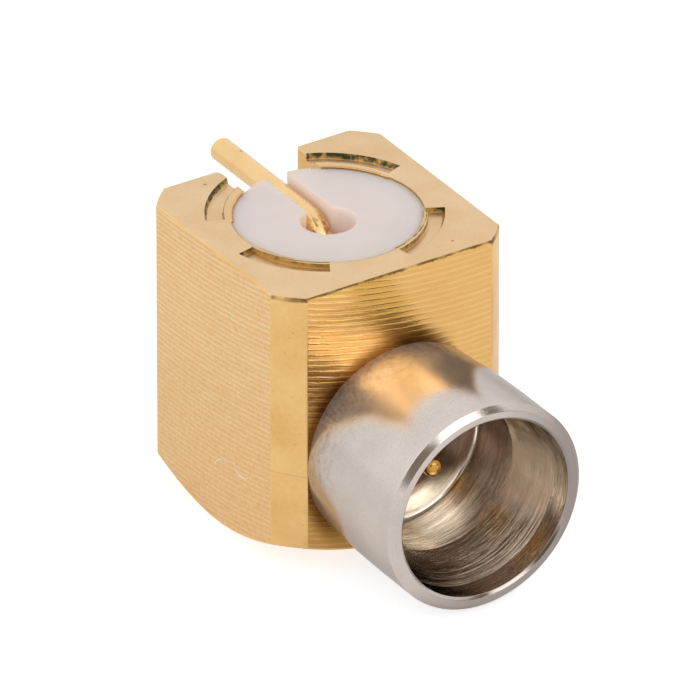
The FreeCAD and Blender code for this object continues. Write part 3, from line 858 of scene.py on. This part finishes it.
# Disc
disc = turned("insulator_disc", [
    (0.0, WELL_FLOOR),
    (DISC_RADIUS, WELL_FLOOR),
    (DISC_RADIUS, DISC_TOP, 0.003),
    (0.0, DISC_TOP)], about_z)
hole = turned("hole", [
    (0.0, 2.0),
    (WIRE_GAP, 2.0),
    (WIRE_GAP, ABOVE),
    (0.0, ABOVE)], about_z, segments=96)
bend_hole = turned("bend_hole", [
    (0.0, BEND_HOLE_FLOOR),
    (BEND_HOLE_RADIUS, BEND_HOLE_FLOOR),
    (BEND_HOLE_RADIUS, ABOVE),
    (0.0, ABOVE)], about_z, segments=128)
bend_hole.data.transform(Matrix.Translation(BEND_HOLE_CENTRE))
wire_slot = prism("wire_slot", [
    (-WIRE_GAP, 0.0),
    (WIRE_GAP, 0.0),
    (WIRE_GAP, 3.0),
    (-WIRE_GAP, 3.0)], WIRE_SLOT_FLOOR, ABOVE)
steps = [(hole, "DIFFERENCE"), (bend_hole, "DIFFERENCE"), (wire_slot, "DIFFERENCE")]
for first, sweep in STAKES:
    dent = ring_sector("dent", [
        (WELL_RADIUS + 0.03, BODY_HEIGHT + 0.2),
        (WELL_RADIUS + 0.03, BODY_HEIGHT - LIP_THICKNESS - 0.03),
        (WELL_RADIUS - LIP_OVERLAP - 0.004, BODY_HEIGHT - 0.008),
        (WELL_RADIUS - LIP_OVERLAP - 0.004, BODY_HEIGHT + 0.2)], first - 1.0, sweep + 2.0, 0.0)
    steps.append((dent, "DIFFERENCE"))
disc = combined(disc, steps)


def disc_finish(centre, normal):
    """The finish of the hole's and the slot's walls, and the plain one elsewhere."""
    in_openings = math.hypot(centre.x, centre.y) < 1.33 and centre.z > 3.6 and abs(normal.z) < 0.9
    return 1 if in_openings else 0


finished(disc, "rear_insulator", [white_plastic, lit_plastic], disc_finish)

# Floor and light
FLOOR_MIRRORED = 0.36
FLOOR_SEEN = 0.72
WORLD_LIGHT = 0.75
WORLD_SEEN = 1.0
FLAG_TINT = (1.0, 0.72, 0.34, 1.0)
floor_mesh = bmesh.new()
bmesh.ops.create_grid(floor_mesh, x_segments=1, y_segments=1, size=1.5)
floor = new_object("floor", floor_mesh)
floor.location.z = -0.00001
floor_finish = bpy.data.materials.new("floor")
floor_finish.use_nodes = True
nodes, links = floor_finish.node_tree.nodes, floor_finish.node_tree.links
nodes.clear()
output = nodes.new("ShaderNodeOutputMaterial")
path = nodes.new("ShaderNodeLightPath")
mirrored = nodes.new("ShaderNodeMath")
mirrored.operation = "MAXIMUM"
links.new(path.outputs["Is Glossy Ray"], mirrored.inputs[0])
links.new(path.outputs["Is Transmission Ray"], mirrored.inputs[1])
dimmed = nodes.new("ShaderNodeMath")
dimmed.operation = "MULTIPLY"
links.new(mirrored.outputs[0], dimmed.inputs[0])
dimmed.inputs[1].default_value = FLOOR_MIRRORED
glow = nodes.new("ShaderNodeMath")
glow.operation = "MULTIPLY_ADD"
links.new(path.outputs["Is Camera Ray"], glow.inputs[0])
glow.inputs[1].default_value = FLOOR_SEEN
links.new(dimmed.outputs[0], glow.inputs[2])
pale = nodes.new("ShaderNodeBsdfDiffuse")
pale.inputs["Color"].default_value = (0.60, 0.60, 0.60, 1.0)
emit = nodes.new("ShaderNodeEmission")
links.new(glow.outputs[0], emit.inputs["Strength"])
both = nodes.new("ShaderNodeAddShader")
links.new(pale.outputs[0], both.inputs[0])
links.new(emit.outputs[0], both.inputs[1])
links.new(both.outputs[0], output.inputs["Surface"])
floor.data.materials.append(floor_finish)

world = bpy.data.worlds.new("studio")
bpy.context.scene.world = world
world.use_nodes = True
nodes, links = world.node_tree.nodes, world.node_tree.links
background = nodes["Background"]
background.inputs["Color"].default_value = (1.0, 1.0, 1.0, 1.0)
path = nodes.new("ShaderNodeLightPath")
seen = nodes.new("ShaderNodeMath")
seen.operation = "MAXIMUM"
links.new(path.outputs["Is Camera Ray"], seen.inputs[0])
links.new(path.outputs["Is Glossy Ray"], seen.inputs[1])
seen_too = nodes.new("ShaderNodeMath")
seen_too.operation = "MAXIMUM"
links.new(seen.outputs[0], seen_too.inputs[0])
links.new(path.outputs["Is Transmission Ray"], seen_too.inputs[1])
strength = nodes.new("ShaderNodeMapRange")
links.new(seen_too.outputs[0], strength.inputs["Value"])
strength.inputs["To Min"].default_value = WORLD_LIGHT
strength.inputs["To Max"].default_value = WORLD_SEEN
links.new(strength.outputs["Result"], background.inputs["Strength"])


def flag(name, direction, distance, width, height, level):
    """A dark, faintly warm studio flag that only polished metal reflects."""
    mesh = bmesh.new()
    bmesh.ops.create_grid(mesh, x_segments=1, y_segments=1, size=0.5)
    card = new_object(name, mesh)
    toward = Vector(direction).normalized()
    card.location = toward * distance * MM
    card.scale = (width * MM, height * MM, 1.0)
    card.rotation_mode = "QUATERNION"
    card.rotation_quaternion = (-toward).to_track_quat("Z", "Y")
    for ray in ("camera", "diffuse", "shadow", "transmission", "volume_scatter"):
        setattr(card, "visible_" + ray, False)
    paint = bpy.data.materials.new(name)
    paint.use_nodes = True
    tree = paint.node_tree
    tree.nodes.clear()
    output = tree.nodes.new("ShaderNodeOutputMaterial")
    cloth = tree.nodes.new("ShaderNodeEmission")
    cloth.inputs["Color"].default_value = FLAG_TINT
    fade = tree.nodes.new("ShaderNodeTexNoise")
    fade.inputs["Scale"].default_value = 6.0
    shade = tree.nodes.new("ShaderNodeMapRange")
    tree.links.new(fade.outputs["Fac"], shade.inputs["Value"])
    shade.inputs["To Min"].default_value = level * 0.6
    shade.inputs["To Max"].default_value = level * 1.4
    tree.links.new(shade.outputs["Result"], cloth.inputs["Strength"])
    tree.links.new(cloth.outputs[0], output.inputs["Surface"])
    card.data.materials.append(paint)


flag("flag_front", (-0.50, -0.70, 0.44), 120.0, 60.0, 70.0, 0.15)
flag("flag_right", (0.644, -0.667, 0.375), 120.0, 36.0, 138.0, 0.13)


def softbox(name, direction, distance, width, height, radiance):
    """A soft rectangular lamp that faces the part, with its brightness as seen."""
    light = bpy.data.lights.new(name, "AREA")
    light.shape = "RECTANGLE"
    light.size = width * MM
    light.size_y = height * MM
    light.energy = radiance * math.pi * width * height * MM * MM
    made = bpy.data.objects.new(name, light)
    bpy.context.scene.collection.objects.link(made)
    toward = Vector(direction).normalized()
    made.location = toward * distance * MM
    made.rotation_euler = toward.to_track_quat("Z", "Y").to_euler()


softbox("key", (0.098, -0.700, 0.707), 75.0, 46.0, 30.0, 1.6)
softbox("side", (-0.75, 0.10, 0.65), 80.0, 45.0, 45.0, 0.9)

# Camera
AZIMUTH = math.radians(32.6)
ELEVATION = math.radians(30.0)
DISTANCE = 293.0
PICTURE_SIZE = 700.0
SENSOR = 36.0
PIXELS_PER_MM = 133.4 / 1.905
right = Vector((math.cos(AZIMUTH), -math.sin(AZIMUTH), 0.0))
up = Vector((math.sin(AZIMUTH) * math.sin(ELEVATION), math.cos(AZIMUTH) * math.sin(ELEVATION),
             math.cos(ELEVATION)))
back = right.cross(up)
aim = Vector((0.0, 0.0, BODY_HEIGHT)) + right * (22.2 / PIXELS_PER_MM) - up * (135.9 / PIXELS_PER_MM)
lens = bpy.data.cameras.new("camera")
lens.sensor_width = SENSOR
lens.lens = SENSOR * PIXELS_PER_MM * DISTANCE / PICTURE_SIZE
lens.clip_start = 0.02
lens.clip_end = 5.0
camera = bpy.data.objects.new("camera", lens)
bpy.context.scene.collection.objects.link(camera)
turn = Matrix((right, up, back)).transposed().to_4x4()
camera.matrix_world = Matrix.Translation((aim + back * DISTANCE) * MM) @ turn
bpy.context.scene.camera = camera
bpy.context.scene.view_settings.view_transform = "Standard"
